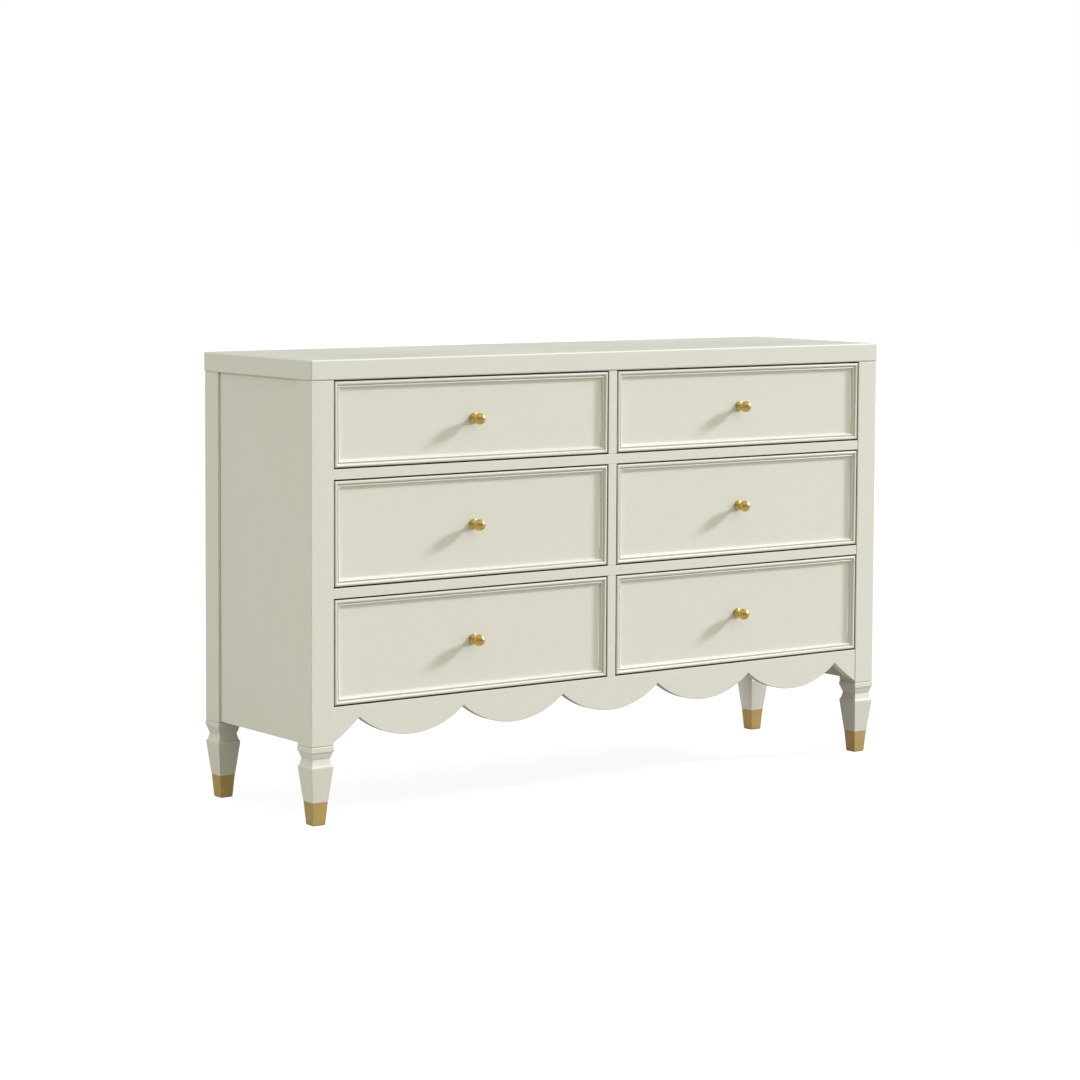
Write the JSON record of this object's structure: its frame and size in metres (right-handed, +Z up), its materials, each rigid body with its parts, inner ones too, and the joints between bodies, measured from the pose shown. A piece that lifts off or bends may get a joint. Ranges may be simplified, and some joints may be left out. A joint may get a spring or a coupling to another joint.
{
  "type": "dresser with drawers",
  "caption": "Wide low dresser in off-white painted wood with two columns of inset moulded drawers, ball knobs, a scalloped apron and square tapered legs in brass cups.",
  "frame": {"origin": "on the floor, below the centre of the whole object's box", "axes": "+Z up, the drawers open towards -Y, +X to the right of a person facing the drawers"},
  "size_m": [1.524, 0.4444, 0.94],
  "materials": {
    "painted_wood": "smooth satin paint, warm off-white",
    "carcass_wood": "planed softwood and birch board, unpainted",
    "back_board": "thin board, sprayed off-white",
    "drawer_wood": "clear-lacquered birch",
    "satin_brass": "satin brass-plated metal",
    "polished_brass": "polished brass",
    "zinc_steel": "bright zinc plate"
  },
  "bodies": {
    "cabinet": {"top_panel": "painted_wood", "front_left_post": "painted_wood", "front_right_post": "painted_wood", "back_left_post": "painted_wood", "back_right_post": "painted_wood", "left_side_panel": "painted_wood", "right_side_panel": "painted_wood", "back_panel": "back_board", "bottom_panel": "carcass_wood", "centre_partition": "carcass_wood", "upper_rail": "painted_wood", "lower_rail": "painted_wood", "centre_stiles": "painted_wood", "scalloped_apron": "painted_wood", "back_rails": "carcass_wood", "side_battens": "carcass_wood", "top_screws": "zinc_steel", "front_left_leg": "painted_wood", "front_right_leg": "painted_wood", "back_left_leg": "painted_wood", "back_right_leg": "painted_wood", "leg_cups": "satin_brass", "leg_bolts": "zinc_steel", "cabinet_slide_members": "zinc_steel"},
    "upper_left_drawer": {"upper_left_front": "painted_wood", "upper_left_box": "drawer_wood", "upper_left_bottom": "drawer_wood", "upper_left_knob": "polished_brass", "upper_left_slide_inners": "zinc_steel"},
    "upper_left_slide": {"upper_left_slide_middles": "zinc_steel"},
    "upper_right_drawer": {"upper_right_front": "painted_wood", "upper_right_box": "drawer_wood", "upper_right_bottom": "drawer_wood", "upper_right_knob": "polished_brass", "upper_right_slide_inners": "zinc_steel"},
    "upper_right_slide": {"upper_right_slide_middles": "zinc_steel"},
    "middle_left_drawer": {"middle_left_front": "painted_wood", "middle_left_box": "drawer_wood", "middle_left_bottom": "drawer_wood", "middle_left_knob": "polished_brass", "middle_left_slide_inners": "zinc_steel"},
    "middle_left_slide": {"middle_left_slide_middles": "zinc_steel"},
    "middle_right_drawer": {"middle_right_front": "painted_wood", "middle_right_box": "drawer_wood", "middle_right_bottom": "drawer_wood", "middle_right_knob": "polished_brass", "middle_right_slide_inners": "zinc_steel"},
    "middle_right_slide": {"middle_right_slide_middles": "zinc_steel"},
    "lower_left_drawer": {"lower_left_front": "painted_wood", "lower_left_box": "drawer_wood", "lower_left_bottom": "drawer_wood", "lower_left_knob": "polished_brass", "lower_left_slide_inners": "zinc_steel"},
    "lower_left_slide": {"lower_left_slide_middles": "zinc_steel"},
    "lower_right_drawer": {"lower_right_front": "painted_wood", "lower_right_box": "drawer_wood", "lower_right_bottom": "drawer_wood", "lower_right_knob": "polished_brass", "lower_right_slide_inners": "zinc_steel"},
    "lower_right_slide": {"lower_right_slide_middles": "zinc_steel"}
  },
  "joints": [
    {"name": "upper_left_drawer_travel", "type": "slide", "parent": "cabinet", "child": "upper_left_drawer", "axis": [0, -1, 0], "range_m": [0, 0.35]},
    {"name": "upper_left_slide_travel", "type": "slide", "parent": "cabinet", "child": "upper_left_slide", "axis": [0, -1, 0], "range_m": [0, 0.175]},
    {"name": "upper_right_drawer_travel", "type": "slide", "parent": "cabinet", "child": "upper_right_drawer", "axis": [0, -1, 0], "range_m": [0, 0.35]},
    {"name": "upper_right_slide_travel", "type": "slide", "parent": "cabinet", "child": "upper_right_slide", "axis": [0, -1, 0], "range_m": [0, 0.175]},
    {"name": "middle_left_drawer_travel", "type": "slide", "parent": "cabinet", "child": "middle_left_drawer", "axis": [0, -1, 0], "range_m": [0, 0.35]},
    {"name": "middle_left_slide_travel", "type": "slide", "parent": "cabinet", "child": "middle_left_slide", "axis": [0, -1, 0], "range_m": [0, 0.175]},
    {"name": "middle_right_drawer_travel", "type": "slide", "parent": "cabinet", "child": "middle_right_drawer", "axis": [0, -1, 0], "range_m": [0, 0.35]},
    {"name": "middle_right_slide_travel", "type": "slide", "parent": "cabinet", "child": "middle_right_slide", "axis": [0, -1, 0], "range_m": [0, 0.175]},
    {"name": "lower_left_drawer_travel", "type": "slide", "parent": "cabinet", "child": "lower_left_drawer", "axis": [0, -1, 0], "range_m": [0, 0.35]},
    {"name": "lower_left_slide_travel", "type": "slide", "parent": "cabinet", "child": "lower_left_slide", "axis": [0, -1, 0], "range_m": [0, 0.175]},
    {"name": "lower_right_drawer_travel", "type": "slide", "parent": "cabinet", "child": "lower_right_drawer", "axis": [0, -1, 0], "range_m": [0, 0.35]},
    {"name": "lower_right_slide_travel", "type": "slide", "parent": "cabinet", "child": "lower_right_slide", "axis": [0, -1, 0], "range_m": [0, 0.175]}
  ],
  "couplings": [
    {"joint": "upper_left_slide_travel", "follows": "upper_left_drawer_travel", "ratio": 0.5},
    {"joint": "upper_right_slide_travel", "follows": "upper_right_drawer_travel", "ratio": 0.5},
    {"joint": "middle_left_slide_travel", "follows": "middle_left_drawer_travel", "ratio": 0.5},
    {"joint": "middle_right_slide_travel", "follows": "middle_right_drawer_travel", "ratio": 0.5},
    {"joint": "lower_left_slide_travel", "follows": "lower_left_drawer_travel", "ratio": 0.5},
    {"joint": "lower_right_slide_travel", "follows": "lower_right_drawer_travel", "ratio": 0.5}
  ]
}
